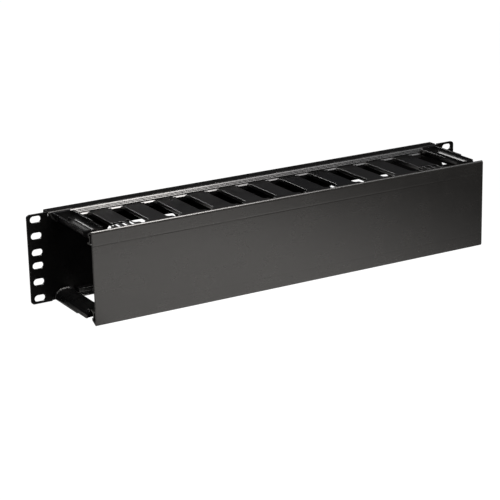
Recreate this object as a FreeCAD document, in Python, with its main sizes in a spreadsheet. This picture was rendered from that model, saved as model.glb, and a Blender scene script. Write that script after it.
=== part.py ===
"""Two-unit horizontal cable manager for a 19-inch rack.

A folded steel back plate screws to the rack by its ears. Two rows of moulded fingers stand
on it, their roots shut in behind a ridged rail, and four round-backed end fingers close the
duct. Beads along the finger tips carry an extruded cover that swings up and open.
The small screws that hold the rails and end fingers from behind are left out.

Row frame, in millimetres: X to the right, Y to the rear, Z up. The origin is the centre of
the rack slots, on the front face of the ears.
"""
import FreeCAD
import Part
import Sketcher

import math
import os
import re

Vector = FreeCAD.Vector

# Driving sizes: name, value, what it is.
SIZES = [
    ("panel_width", 482.6, "over both ears"),
    ("panel_height", 86.4, "two rack units, less the gap to the next panel"),
    ("panel_corner", 3.0, "corner radius of the ears"),
    ("sheet_gauge", 2.0, "steel of the back plate"),
    ("flange_end", 2.2, "end of a flange beyond the end of the duct"),
    ("flange_reach", 13.0, "rear face of a flange behind the ears' front face"),
    ("flange_return", 5.0, "down-turned rear edge of a flange, over its whole height"),
    ("bend_radius", 2.5, "outside radius of the folds"),
    ("relief_width", 1.0, "bend relief beside each flange"),
    ("relief_depth", 4.0, "bend relief below the ears' top edge"),
    ("rack_slot_inset", 8.75, "centre of the rack slots from the end of an ear"),
    ("rack_step", 15.875, "between rack slots inside one unit"),
    ("rack_unit", 44.45, "one rack unit"),
    ("rack_slot_length", 11.0, "rack slot, end to end"),
    ("rack_slot_width", 6.5, "rack slot, across"),
    ("window_width", 74.0, "rear cable opening"),
    ("window_height", 41.0, "rear cable opening"),
    ("window_corner", 6.0, "corner radius of the rear cable openings"),
    ("window_offset", 124.0, "centre of a rear cable opening from the middle"),
    ("ear_width", 24.3, "ear beside the end fingers"),
    ("fingers_each_side", 5, "fingers on each side of the middle one"),
    ("slot_width", 15.2, "between the blades of two fingers"),
    ("finger_drop", 4.7, "outer face of the fingers inside the edge of the ears"),
    ("finger_gauge", 2.4, "blade of a finger"),
    ("finger_reach", 67.0, "front edge of the fingers from the plate"),
    ("skirt_depth", 3.5, "stiffening skirts of a blade, from its outer face"),
    ("skirt_gauge", 1.6, "stiffening skirts of a blade"),
    ("flare_width", 2.6, "widening of a blade at its root, each side"),
    ("flare_gauge", 1.2, "edge of that widening"),
    ("flare_slope", 2.3, "gusset between blade and widening"),
    ("head_gap", 4.6, "between the heads of two fingers"),
    ("head_depth", 7.0, "head of a finger, front to rear"),
    ("head_round", 3.0, "inside radius between blade and head"),
    ("head_corner", 1.2, "bevelled rear corners of a head"),
    ("head_lead", 1.2, "rounded front edge of a head"),
    ("web_gauge", 2.4, "front wall below a head"),
    ("hinge_forward", 74.5, "bead centre in front of the plate"),
    ("hinge_drop", 7.7, "bead centre inside the edge of the ears"),
    ("bead_radius", 3.0, "hinge bead"),
    ("neck_gauge", 2.4, "neck of the bead"),
    ("neck_angle", 36.0, "fall of the neck to the rear, degrees"),
    ("comb_slit", 2.0, "slits of a comb head"),
    ("comb_pitch", 7.0, "between the slits of a comb head"),
    ("comb_depth", 4.0, "slits of a comb head, from its outer face"),
    ("root_gauge", 1.6, "root plate of a finger"),
    ("rail_height", 4.7, "rail above the fingers' outer face"),
    ("rail_gauge", 2.4, "front wall of a rail, over the finger roots"),
    ("rail_overhang", 3.5, "rail end beyond the outermost slot"),
    ("rail_chamfer", 2.5, "lower corners at the rail ends"),
    ("ridge_height", 0.5, "ridges along a rail"),
    ("ridge_pitch", 1.3, "between ridges"),
    ("ridge_start", 1.0, "first ridge above the fingers' outer face"),
    ("lip_reach", 6.5, "front of a rail's lips, between the fingers"),
    ("lip_drop", 4.7, "bottom of the lips below the fingers' outer face"),
    ("lip_round", 1.2, "upper front edge of the lips"),
    ("fit_gap", 0.15, "clearance of pieces that plug together"),
    ("end_gauge", 2.0, "walls of an end finger"),
    ("end_radius", 9.2, "cable bends along both sides of an end finger"),
    ("end_flat", 2.9, "flat between those bends"),
    ("end_straight", 0.3, "straight walls beyond the bends"),
    ("end_rib_height", 5.0, "middle rib above the floor of the end finger"),
    ("end_rib_start", 10.0, "rear end of that rib from the root"),
    ("rim_drop", 0.7, "rim of an end finger inside the edge of the ears"),
    ("rim_straight", 46.0, "full-height rim of an end finger from the plate"),
    ("rim_step", 1.2, "step down at the front of that rim"),
    ("rim_nose", 2.2, "bevelled front end of that rim"),
    ("root_block", 5.0, "root of an end finger, front to rear"),
    ("cover_inset", 1.5, "end of the cover inside the end of the duct"),
    ("cover_rise", 1.0, "edge of the cover beyond the edge of the ears"),
    ("cover_forward", 84.0, "front face of the cover from the plate"),
    ("cover_gauge", 2.0, "front wall of the cover"),
    ("cover_edge_round", 0.8, "outer edges of the cover"),
    ("lip_gauge", 1.5, "lips and hinge rings of the cover"),
    ("lip_root", 1.8, "outer lips where they meet the front wall"),
    ("hinge_gap", 0.3, "clearance between bead and ring"),
    ("ring_start", 100.0, "upper end of a ring, degrees up from the rear"),
    ("ring_end", 285.0, "lower end of a ring, degrees"),
    ("inner_lip_drop", 3.8, "middle of an inner lip below the bead centre"),
]

# Sizes worked out from the driving ones.
DERIVED = {
    "rack_columns": "panel_width - 2 * rack_slot_inset",
    "duct_span": "panel_width - 2 * ear_width",
    "end_width": "2 * end_radius + end_flat",
    "end_inner": "duct_span / 2 - end_width",
    "pitch": "(end_inner - slot_width / 2) / (fingers_each_side + 0.5)",
    "finger_width": "pitch - slot_width",
    "outer_slot": "(fingers_each_side + 0.5) * pitch",
    "finger_face": "panel_height / 2 - finger_drop",
    "hinge_height": "panel_height / 2 - hinge_drop",
    "end_rim": "panel_height / 2 - rim_drop",
    "end_face": "end_rim - end_straight - end_radius",
    "cover_height": "panel_height + 2 * cover_rise",
    "inner_lip_height": "hinge_height - inner_lip_drop",
    "head_half": "(pitch - head_gap) / 2",
    "flange_top": "panel_height / 2",
    "flange_half": "duct_span / 2 + flange_end",
    "rail_top": "finger_face + rail_height",
    "rail_front": "root_gauge + rail_gauge",
    "rail_half": "outer_slot + slot_width / 2 + rail_overhang",
    "ring_inner": "bead_radius + hinge_gap",
    "ring_outer": "ring_inner + lip_gauge",
    "cover_inside": "cover_forward - cover_gauge",
    "lip_step": "lip_round / 3",
    "end_floor": "end_face + end_gauge",
    "mouth_third": "(ring_start + 360 - ring_end) / 3",
}

NAMES = re.compile(r"[a-z_]{3,}")
EXPRESSION_WORDS = ("cos", "sin", "tan", "deg")
RIDGES = 3  # along the front of a rail
SIDES = {"upper": 0, "lower": 180}  # turn of each row about the Y axis, degrees
ENDS = {"left": -1, "right": 1}


def rule(text):
    """Return an expression over the sheet for text in plain size names."""
    def cell(match):
        """Return what one name of the expression stands for."""
        name = match.group(0)
        if name in DERIVED:
            return f"({rule(DERIVED[name])})"
        return name if name in EXPRESSION_WORDS else f"Sizes.{name}"
    return NAMES.sub(cell, str(text))


def make_sheet(doc):
    """Fill the spreadsheet that holds the driving sizes."""
    sheet = doc.addObject("Spreadsheet::Sheet", "Sizes")
    for row, (name, value, note) in enumerate(SIZES, start=1):
        sheet.set(f"A{row}", str(value))
        sheet.set(f"B{row}", note)
        sheet.setAlias(f"A{row}", name)
    doc.recompute()
    return sheet


def size(doc, text):
    """Return the present value of an expression in plain size names."""
    value = doc.getObject("Sizes").evalExpression(rule(text))
    return float(getattr(value, "Value", value))


def make_body(doc, label):
    """Start a body with its own label."""
    body = doc.addObject("PartDesign::Body", label)
    body.Label = label
    return body


def make_copy(doc, label, pattern, turn, across="0"):
    """Body that follows a pattern body, turned about the Y axis and moved along X."""
    body = make_body(doc, label)
    body.BaseFeature = pattern
    body.Placement = FreeCAD.Placement(Vector(), FreeCAD.Rotation(Vector(0, 1, 0), turn))
    body.setExpression("Placement.Base.x", rule(across))
    return body


def make_sketch(body, name, plane, offset="0"):
    """Add a sketch on one of the body's origin planes, moved along the plane's normal."""
    sketch = body.newObject("Sketcher::SketchObject", name)
    origin_plane = next(item for item in body.Origin.OriginFeatures if item.Role == plane)
    sketch.AttachmentSupport = [(origin_plane, "")]
    sketch.MapMode = "FlatFace"
    sketch.setExpression("AttachmentOffset.Base.z", rule(offset))
    return sketch


def fix_point(sketch, geometry, point, across, up):
    """Tie a point's two coordinates to expressions."""
    for kind, text in (("DistanceX", across), ("DistanceY", up)):
        value = size(sketch.Document, text)
        index = sketch.addConstraint(Sketcher.Constraint(kind, geometry, point, value))
        sketch.setExpression(f"Constraints[{index}]", rule(text))


def add_polygon(sketch, corners):
    """Draw a closed outline of straight sides whose corners follow the sheet."""
    doc = sketch.Document
    points = [Vector(size(doc, across), size(doc, up), 0) for across, up in corners]
    count = len(points)
    first = sketch.GeometryCount
    for number in range(count):
        side = Part.LineSegment(points[number], points[(number + 1) % count])
        sketch.addGeometry(side, False)
    for number in range(count):
        following = first + (number + 1) % count
        sketch.addConstraint(Sketcher.Constraint("Coincident", first + number, 2, following, 1))
    for number, (across, up) in enumerate(corners):
        fix_point(sketch, first + number, 1, across, up)


def add_rectangle(sketch, left, right, bottom, top):
    """Draw a rectangle between two columns and two rows."""
    add_polygon(sketch, [(left, bottom), (right, bottom), (right, top), (left, top)])


def add_circle(sketch, across, up, radius):
    """Draw a circle whose centre and radius follow the sheet."""
    doc = sketch.Document
    centre = Vector(size(doc, across), size(doc, up), 0)
    number = sketch.addGeometry(Part.Circle(centre, Vector(0, 0, 1), size(doc, radius)), False)
    fix_point(sketch, number, 3, across, up)
    index = sketch.addConstraint(Sketcher.Constraint("Radius", number, size(doc, radius)))
    sketch.setExpression(f"Constraints[{index}]", rule(radius))


def add_slot(sketch, across, up, length, width):
    """Draw a level slot with round ends about a centre."""
    doc = sketch.Document
    radius = size(doc, f"{width} / 2")
    middle = Vector(size(doc, across), size(doc, up), 0)
    shift = Vector(size(doc, f"({length} - {width}) / 2"), 0, 0)
    rise = Vector(0, radius, 0)
    quarter = math.pi / 2
    first = sketch.GeometryCount
    axis = Vector(0, 0, 1)
    sketch.addGeometry(Part.ArcOfCircle(Part.Circle(middle - shift, axis, radius), quarter, 3 * quarter))
    sketch.addGeometry(Part.ArcOfCircle(Part.Circle(middle + shift, axis, radius), -quarter, quarter))
    sketch.addGeometry(Part.LineSegment(middle - shift + rise, middle + shift + rise))
    sketch.addGeometry(Part.LineSegment(middle + shift - rise, middle - shift - rise))
    left, right, top, bottom = range(first, first + 4)
    for one, end_one, other, end_other in ((left, 1, top, 1), (top, 2, right, 2),
                                           (right, 1, bottom, 1), (bottom, 2, left, 2)):
        sketch.addConstraint(Sketcher.Constraint("Tangent", one, end_one, other, end_other))
    fix_point(sketch, left, 3, f"{across} - ({length} - {width}) / 2", up)
    fix_point(sketch, right, 3, f"{across} + ({length} - {width}) / 2", up)
    index = sketch.addConstraint(Sketcher.Constraint("Radius", left, radius))
    sketch.setExpression(f"Constraints[{index}]", rule(f"{width} / 2"))


def add_pad(sketch, name, length, middle=False, rearward=False):
    """Add material along the sketch's normal, or to both sides of it."""
    body = sketch.getParentGeoFeatureGroup()
    pad = body.newObject("PartDesign::Pad", name)
    pad.Profile = sketch
    pad.setExpression("Length", rule(length))
    pad.SideType = "Symmetric" if middle else "One side"
    pad.Reversed = rearward
    sketch.Visibility = False
    return pad


def add_pocket(sketch, name, length="0", middle=False, along_normal=True):
    """Cut by a length, or right through both ways when middle is set without one."""
    body = sketch.getParentGeoFeatureGroup()
    pocket = body.newObject("PartDesign::Pocket", name)
    pocket.Profile = sketch
    pocket.SideType = "Symmetric" if middle else "One side"
    pocket.Reversed = along_normal
    if length == "0":
        pocket.Type = "ThroughAll"
    else:
        pocket.setExpression("Length", rule(length))
    return pocket


def repeat(body, name, feature, sketch, axis, count, span):
    """Repeat a feature along a sketch axis, count times over a span."""
    pattern = body.newObject("PartDesign::LinearPattern", name)
    pattern.Originals = [feature]
    pattern.Direction = (sketch, [axis])
    pattern.setExpression("Occurrences", rule(count))
    pattern.setExpression("Length", rule(span))
    body.Tip = pattern
    return pattern


def mirror(body, name, features, plane):
    """Mirror features across one of the body's origin planes."""
    mirrored = body.newObject("PartDesign::Mirrored", name)
    mirrored.Originals = features
    origin_plane = next(item for item in body.Origin.OriginFeatures if item.Role == plane)
    mirrored.MirrorPlane = (origin_plane, [""])
    body.Tip = mirrored
    return mirrored


def straight_edges(feature, direction, wanted):
    """Name the straight edges along a direction whose midpoint passes a test."""
    names = []
    for number, edge in enumerate(feature.Shape.Edges, start=1):
        if not isinstance(edge.Curve, Part.Line):
            continue
        along = abs(edge.Curve.Direction.dot(direction)) > 0.999
        middle = edge.valueAt((edge.FirstParameter + edge.LastParameter) / 2)
        if along and wanted(middle):
            names.append(f"Edge{number}")
    return names


def round_edges(body, name, feature, edges, radius):
    """Round named edges of a feature."""
    fillet = body.newObject("PartDesign::Fillet", name)
    fillet.Base = (feature, edges)
    fillet.setExpression("Radius", rule(radius))
    return fillet


def near(value, target, margin=0.05):
    """Tell whether a coordinate is at a target."""
    return abs(value - target) < margin


def fold_edges(doc, feature, front, rear, height):
    """Name the two level edges of a flange at a height, in front and at the rear."""
    columns, level = [size(doc, front), size(doc, rear)], size(doc, height)
    return straight_edges(feature, Vector(1, 0, 0), lambda point: near(point.x, 0)
                          and near(point.z, level)
                          and any(near(point.y, column) for column in columns))


def make_back_plate(doc):
    """Sheet with ears, folded flanges, rack slots and cable windows."""
    body = make_body(doc, "back_plate")
    blank = make_sketch(body, "plate_blank", "XZ_Plane")
    add_rectangle(blank, "-panel_width / 2", "panel_width / 2", "-panel_height / 2", "panel_height / 2")
    sheet = add_pad(blank, "plate_sheet", "sheet_gauge", rearward=True)
    doc.recompute()
    half = size(doc, "panel_width / 2")
    corners = straight_edges(sheet, Vector(0, 1, 0), lambda point: near(abs(point.x), half))
    round_edges(body, "plate_corners", sheet, corners, "panel_corner")

    # The strips above and below the duct go, with the bend reliefs, to make room for the folds.
    strips = make_sketch(body, "plate_strips", "XZ_Plane")
    edge = "flange_half + relief_width"
    for sign in ("", "-"):
        add_rectangle(strips, f"-({edge})", edge, f"{sign}(flange_top - relief_depth)",
                      f"{sign}(panel_height / 2 + sheet_gauge)")
    add_pocket(strips, "plate_relief", along_normal=False)

    for side, sign in (("upper", ""), ("lower", "-")):
        fold = make_sketch(body, f"{side}_flange_profile", "YZ_Plane")
        low, top = "flange_top - relief_depth - sheet_gauge", "flange_top"
        inner, under = "flange_reach - sheet_gauge", "flange_top - sheet_gauge"
        turned = [("0", low), ("0", top), ("flange_reach", top),
                  ("flange_reach", f"{top} - flange_return"), (inner, f"{top} - flange_return"),
                  (inner, under), ("sheet_gauge", under), ("sheet_gauge", low)]
        add_polygon(fold, [(rear, f"{sign}({up})") for rear, up in turned])
        flange = add_pad(fold, f"{side}_flange", "2 * flange_half", middle=True)
        doc.recompute()
        outside = fold_edges(doc, flange, "0", "flange_reach", f"{sign}({top})")
        bend = round_edges(body, f"{side}_bends", flange, outside, "bend_radius")
        doc.recompute()
        inside = fold_edges(doc, bend, "sheet_gauge", inner, f"{sign}({under})")
        round_edges(body, f"{side}_inner_bends", bend, inside, "bend_radius - sheet_gauge")

    slots = make_sketch(body, "rack_slot_outline", "XZ_Plane")
    for column in ("-", ""):
        for unit in ("-", ""):
            for step in (-1, 0, 1):
                add_slot(slots, f"{column}rack_columns / 2", f"{unit}rack_unit / 2 + {step} * rack_step",
                         "rack_slot_length", "rack_slot_width")
    add_pocket(slots, "rack_slots", along_normal=False)

    windows = make_sketch(body, "window_outline", "XZ_Plane")
    for sign in (-1, 1):
        add_rectangle(windows, f"{sign} * window_offset - window_width / 2",
                      f"{sign} * window_offset + window_width / 2",
                      "-window_height / 2", "window_height / 2")
    opening = add_pocket(windows, "windows", along_normal=False)
    doc.recompute()
    height = size(doc, "window_height / 2")
    columns = [size(doc, f"window_offset {way} window_width / 2") for way in "+-"]
    corners = straight_edges(opening, Vector(0, 1, 0), lambda point: near(abs(point.z), height)
                             and any(near(abs(point.x), column) for column in columns))
    round_edges(body, "window_corners", opening, corners, "window_corner")
    return body


def make_finger(doc, label, comb):
    """One moulded finger: root, blade with skirts, head, web, neck and bead."""
    body = make_body(doc, label)
    root = make_sketch(body, f"{label}_root_outline", "XZ_Plane")
    add_rectangle(root, "-finger_width / 2", "finger_width / 2", "finger_face - finger_gauge", "rail_top")
    add_pad(root, f"{label}_root", "root_gauge")

    plan = make_sketch(body, f"{label}_blade_plan", "XY_Plane", "finger_face - finger_gauge")
    flare, head = "lip_reach + fit_gap", "finger_reach - head_depth"
    half, wide = "finger_width / 2", "finger_width / 2 + flare_width"
    right = [(half, "0"), (half, f"-({flare})"), (wide, f"-({flare})"),
             (wide, f"-({flare} + flare_gauge)"),
             (f"{half} + flare_slope", f"-({flare} + flare_gauge)"),
             (half, f"-({flare} + flare_gauge + flare_slope)"), (half, f"-({head})"),
             ("head_half - head_corner", f"-({head})"), ("head_half", f"-({head} + head_corner)"),
             ("head_half", "-finger_reach")]
    left = [(f"-({across})", up) for across, up in reversed(right)]
    add_polygon(plan, right + left)
    blade = add_pad(plan, f"{label}_blade", "finger_gauge")
    doc.recompute()
    blade_half, head_line = size(doc, half), size(doc, f"-({head})")
    edges = straight_edges(blade, Vector(0, 0, 1), lambda point: near(abs(point.x), blade_half)
                           and near(point.y, head_line))
    headed = round_edges(body, f"{label}_head_rounds", blade, edges, "head_round")
    doc.recompute()
    front_line, face = size(doc, "-finger_reach"), size(doc, "finger_face")
    edges = straight_edges(headed, Vector(1, 0, 0), lambda point: near(point.y, front_line)
                           and near(point.z, face))
    round_edges(body, f"{label}_head_lead", headed, edges, "head_lead")

    skirts = make_sketch(body, f"{label}_skirt_plan", "XY_Plane", "finger_face - skirt_depth")
    for sign in (-1, 1):
        add_rectangle(skirts, f"{sign} * ({half} - skirt_gauge)", f"{sign} * {half}",
                      "-(finger_reach - web_gauge)", f"-({flare})")
    add_pad(skirts, f"{label}_skirts", "skirt_depth - finger_gauge")

    hook = make_sketch(body, f"{label}_hook_profile", "YZ_Plane")
    fall = "tan(neck_angle * 1deg)"
    thick = "neck_gauge / 2 / cos(neck_angle * 1deg)"
    front, rear = "-finger_reach", "-(finger_reach - web_gauge)"
    upper_line = f"hinge_height - {fall} * (hinge_forward - finger_reach) + {thick}"
    lower_line = f"hinge_height - {fall} * (hinge_forward - finger_reach) - {thick}"
    side, rise = "sin(neck_angle * 1deg) * neck_gauge / 2", "cos(neck_angle * 1deg) * neck_gauge / 2"
    under = "finger_face - finger_gauge"
    add_polygon(hook, [(front, under), (front, upper_line),
                       (f"-hinge_forward + {side}", f"hinge_height + {rise}"),
                       (f"-hinge_forward - {side}", f"hinge_height - {rise}"),
                       (front, lower_line), (rear, lower_line), (rear, under)])
    add_pad(hook, f"{label}_hook", "2 * head_half", middle=True)
    bead = make_sketch(body, f"{label}_bead_profile", "YZ_Plane")
    add_circle(bead, "-hinge_forward", "hinge_height", "bead_radius")
    add_pad(bead, f"{label}_bead", "2 * head_half", middle=True)

    if comb:
        slits = make_sketch(body, f"{label}_slit_plan", "XY_Plane", "finger_face")
        for step in (-1, 0, 1):
            centre = f"{step} * comb_pitch"
            add_rectangle(slits, f"{centre} - comb_slit / 2", f"{centre} + comb_slit / 2",
                          "-(finger_reach + comb_slit)", f"-({head} - comb_slit / 2)")
        add_pocket(slits, f"{label}_slits", "comb_depth", along_normal=False)
    return body


def section_row(body, label):
    """Add the empty sketch whose level axis gives a rail's lips their direction."""
    return make_sketch(body, f"{label}_row", "XZ_Plane")


def make_rail(doc, label):
    """Ridged strip over the finger roots, with lips that fill the gaps between the blades."""
    body = make_body(doc, label)
    section = make_sketch(body, f"{label}_section", "YZ_Plane")
    corners = [("-root_gauge", "finger_face"), ("-rail_front", "finger_face")]
    for ridge in range(RIDGES):
        middle = f"finger_face + ridge_start + {ridge} * ridge_pitch"
        corners += [("-rail_front", f"{middle} - ridge_height"),
                    ("-(rail_front + ridge_height)", middle),
                    ("-rail_front", f"{middle} + ridge_height")]
    corners += [("-rail_front", "rail_top"), ("-root_gauge", "rail_top")]
    add_polygon(section, corners)
    wall = add_pad(section, f"{label}_wall", "2 * rail_half", middle=True)
    doc.recompute()
    end, low = size(doc, "rail_half"), size(doc, "finger_face")
    edges = straight_edges(wall, Vector(0, 1, 0),
                           lambda point: near(abs(point.x), end) and near(point.z, low))
    chamfer = body.newObject("PartDesign::Chamfer", f"{label}_end_chamfers")
    chamfer.Base = (wall, edges)
    chamfer.setExpression("Size", rule("rail_chamfer"))

    lip = make_sketch(body, f"{label}_lip_profile", "YZ_Plane", "-outer_slot")
    bottom = "finger_face - lip_drop"
    add_polygon(lip, [("0", bottom), ("-lip_reach", bottom),
                      ("-lip_reach", "finger_face - lip_round"),
                      ("-(lip_reach - lip_step)", "finger_face - lip_step"),
                      ("-(lip_reach - lip_round)", "finger_face"),
                      ("-root_gauge", "finger_face"), ("-root_gauge", "rail_top"), ("0", "rail_top")])
    first_lip = add_pad(lip, f"{label}_lip", "slot_width - 2 * fit_gap", middle=True)
    repeat(body, f"{label}_lips", first_lip, section_row(body, label), "H_Axis",
           "2 * fingers_each_side + 2", "2 * outer_slot")
    return body


def level_edges(doc, feature, columns, level):
    """Name the edges that run front to rear at some columns and one level."""
    places, height = [size(doc, column) for column in columns], size(doc, level)
    return straight_edges(feature, Vector(0, 1, 0), lambda point: near(point.z, height)
                          and any(near(point.x, place) for place in places))


def make_end_finger(doc, label, sign):
    """End finger: a bar with two cable bends, hollowed from outside, with a rib and a rim."""
    body = make_body(doc, label)
    outer, inner = "duct_span / 2", "end_inner"

    def across(text):
        """Return a distance from the middle on this finger's side."""
        return f"{sign} * ({text})"

    section = make_sketch(body, f"{label}_section", "XZ_Plane")
    add_rectangle(section, across(inner), across(outer), "end_face", "end_rim")
    add_pad(section, f"{label}_bar", "finger_reach")
    hollow = make_sketch(body, f"{label}_hollow_plan", "XY_Plane", "end_rim")
    walls = [f"{inner} + end_gauge", f"{outer} - end_gauge"]
    add_rectangle(hollow, across(walls[0]), across(walls[1]), "-(finger_reach - end_gauge)", "-root_block")
    shape = add_pocket(hollow, f"{label}_hollow", "end_rim - end_floor", along_normal=False)
    for name, level, sides, radius in (("inner_bends", "end_floor", walls, "end_radius - end_gauge"),
                                       ("bends", "end_face", [inner, outer], "end_radius")):
        doc.recompute()
        edges = level_edges(doc, shape, [across(side) for side in sides], level)
        shape = round_edges(body, f"{label}_{name}", shape, edges, radius)

    rail = make_sketch(body, f"{label}_rail_room", "XZ_Plane")
    add_rectangle(rail, across(f"{inner} - end_gauge"), across("rail_half + fit_gap"),
                  "finger_face", "end_rim + end_gauge")
    add_pocket(rail, f"{label}_rail_notch", "rail_front + ridge_height + fit_gap")

    rib = make_sketch(body, f"{label}_rib_outline", "XZ_Plane", "root_block + end_rib_start")
    rib_middle = f"{outer} - end_width / 2"
    add_rectangle(rib, across(f"{rib_middle} - skirt_gauge / 2"), across(f"{rib_middle} + skirt_gauge / 2"),
                  "end_floor - end_gauge / 2", "end_floor + end_rib_height")
    add_pad(rib, f"{label}_rib", "finger_reach - root_block - end_rib_start - end_gauge / 2")

    rim = make_sketch(body, f"{label}_rim_profile", "YZ_Plane", across(f"{outer} + end_gauge"))
    above = "end_rim + end_gauge"
    add_polygon(rim, [("-rim_straight", above), ("-rim_straight", "end_rim - rim_step"),
                      ("-(finger_reach - rim_nose)", "end_rim - rim_step"),
                      ("-(finger_reach + end_gauge)", "end_rim - rim_step - rim_nose - end_gauge"),
                      ("-(finger_reach + end_gauge)", above)])
    add_pocket(rim, f"{label}_rim_cut", "end_width + 2 * end_gauge", along_normal=sign < 0)
    return body


def make_cover(doc):
    """Extruded cover: front wall, and at each edge two lips that end in a hinge ring."""
    body = make_body(doc, "cover")
    width = "duct_span - 2 * cover_inset"
    wall = make_sketch(body, "cover_wall_profile", "YZ_Plane")
    add_rectangle(wall, "-cover_forward", "-cover_inside", "-cover_height / 2", "cover_height / 2")
    add_pad(wall, "cover_wall", width, middle=True)

    inner = make_sketch(body, "cover_inner_lip_profile", "YZ_Plane")
    add_rectangle(inner, "-cover_forward + cover_gauge / 2", "-hinge_forward",
                  "inner_lip_height - lip_gauge / 2", "inner_lip_height + lip_gauge / 2")
    inner_lip = add_pad(inner, "cover_inner_lip", width, middle=True)

    outer = make_sketch(body, "cover_outer_lip_profile", "YZ_Plane")
    ring_top = "hinge_height + ring_outer"
    edge = "cover_height / 2"
    add_polygon(outer, [("-cover_forward + cover_gauge / 2", edge), ("-cover_inside", edge),
                        ("-hinge_forward", ring_top), ("-hinge_forward", f"{ring_top} - lip_gauge"),
                        ("-cover_forward + cover_gauge / 2", f"{edge} - lip_root")])
    outer_lip = add_pad(outer, "cover_outer_lip", width, middle=True)

    disc = make_sketch(body, "cover_ring_profile", "YZ_Plane")
    add_circle(disc, "-hinge_forward", "hinge_height", "ring_outer")
    ring = add_pad(disc, "cover_ring", width, middle=True)
    bore = make_sketch(body, "cover_bore_profile", "YZ_Plane")
    add_circle(bore, "-hinge_forward", "hinge_height", "ring_inner")
    seat = add_pocket(bore, "cover_bore", f"{width} + 2 * cover_gauge", middle=True)

    mouth = make_sketch(body, "cover_mouth_profile", "YZ_Plane")
    reach = "2 * ring_outer"
    corners = [("-hinge_forward", "hinge_height")]
    for third in range(4):
        angle = f"(ring_end + {third} * mouth_third) * 1deg"
        corners.append((f"-hinge_forward + {reach} * cos({angle})",
                        f"hinge_height + {reach} * sin({angle})"))
    add_polygon(mouth, corners)
    opening = add_pocket(mouth, "cover_mouth", f"{width} + 2 * cover_gauge", middle=True)
    mirror(body, "cover_lower_edge", [inner_lip, outer_lip, ring, seat, opening], "XY_Plane")
    doc.recompute()
    forward, edge_height = size(doc, "-cover_forward"), size(doc, "cover_height / 2")
    edges = straight_edges(body.Tip, Vector(1, 0, 0), lambda point: near(point.y, forward)
                           and near(abs(point.z), edge_height))
    round_edges(body, "cover_edges", body.Tip, edges, "cover_edge_round")
    return body


def make_row(doc, side, turn, patterns):
    """One row of the duct: its rail, its fingers from left to right, and its end fingers."""
    row = [make_copy(doc, f"{side}_rail", patterns["rail"], turn)]
    reach = int(size(doc, "fingers_each_side"))
    for place in range(-reach, reach + 1):
        kind = "comb_finger" if abs(place) == reach else "finger"
        label = f"{side}_{kind}_{place + reach + 1}"
        row.append(make_copy(doc, label, patterns[kind], turn, f"{place} * pitch"))
    for end in ENDS:
        other = next(name for name in ENDS if name != end)
        pattern = patterns[f"{other if turn else end}_end"]
        row.append(make_copy(doc, f"{side}_{end}_end_finger", pattern, turn))
    return row


def make_parts(doc):
    """Build every piece and return those that are written out."""
    patterns = {
        "rail": make_rail(doc, "rail_pattern"),
        "finger": make_finger(doc, "finger_pattern", comb=False),
        "comb_finger": make_finger(doc, "comb_finger_pattern", comb=True),
    }
    for end, sign in ENDS.items():
        patterns[f"{end}_end"] = make_end_finger(doc, f"{end}_end_pattern", sign)
    parts = [make_back_plate(doc)]
    for side, turn in SIDES.items():
        parts += make_row(doc, side, turn, patterns)
    parts.append(make_cover(doc))
    return parts


def check(doc, parts):
    """Stop on a failed feature or an unsound shape."""
    for item in doc.Objects:
        if {"Invalid", "Error"} & set(item.State):
            raise RuntimeError(f"{item.Name} failed: {item.State}")
    for part in parts:
        shape = part.Shape
        if shape.isNull() or not shape.isValid() or not shape.Solids:
            raise RuntimeError(f"{part.Label} has no sound shape")


def main():
    """Build the document, check it and write one STEP file for each piece."""
    doc = FreeCAD.newDocument("cable_manager")
    make_sheet(doc)
    parts = make_parts(doc)
    doc.recompute()
    check(doc, parts)
    os.makedirs("parts", exist_ok=True)
    for part in parts:
        part.Shape.exportStep(os.path.join("parts", f"{part.Label}.step"))
        print(part.Label, len(part.Shape.Solids), round(part.Shape.Volume, 1))


main()
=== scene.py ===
"""Studio scene of a two-unit horizontal cable manager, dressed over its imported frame.

Each Assembly below copies the frame's solids, eases their edges, adds the small work that the
solids leave out and gives the result its finish. Lengths are in metres, in the frame's own
axes: X to the right, Y to the rear, Z up. Angles in the fields are in degrees.
"""
from __future__ import annotations

import logging
import math
from collections.abc import Sequence
from dataclasses import dataclass, field
from enum import Enum

import bmesh
import bpy
from mathutils import Matrix, Vector


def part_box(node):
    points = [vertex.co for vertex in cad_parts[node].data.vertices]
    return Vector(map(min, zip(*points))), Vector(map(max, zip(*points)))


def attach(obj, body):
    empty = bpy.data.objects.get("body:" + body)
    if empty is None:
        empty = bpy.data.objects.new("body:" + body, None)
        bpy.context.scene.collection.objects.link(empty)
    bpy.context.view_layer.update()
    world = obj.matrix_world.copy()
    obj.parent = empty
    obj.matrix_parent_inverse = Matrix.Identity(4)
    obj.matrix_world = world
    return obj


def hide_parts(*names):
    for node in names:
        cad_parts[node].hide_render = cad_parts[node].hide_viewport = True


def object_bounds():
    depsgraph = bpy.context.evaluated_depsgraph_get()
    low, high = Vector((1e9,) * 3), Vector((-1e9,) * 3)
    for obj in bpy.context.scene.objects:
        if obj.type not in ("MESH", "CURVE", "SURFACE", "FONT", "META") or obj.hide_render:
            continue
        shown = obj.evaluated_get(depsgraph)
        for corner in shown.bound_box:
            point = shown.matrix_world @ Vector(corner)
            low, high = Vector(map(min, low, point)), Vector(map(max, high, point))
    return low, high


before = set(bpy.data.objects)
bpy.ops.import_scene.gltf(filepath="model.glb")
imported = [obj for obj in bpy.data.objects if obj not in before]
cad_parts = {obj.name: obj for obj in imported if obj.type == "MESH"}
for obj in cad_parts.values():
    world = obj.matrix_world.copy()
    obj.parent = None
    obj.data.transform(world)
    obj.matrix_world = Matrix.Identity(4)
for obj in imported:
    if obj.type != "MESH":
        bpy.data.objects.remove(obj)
CAD_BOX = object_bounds()

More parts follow.
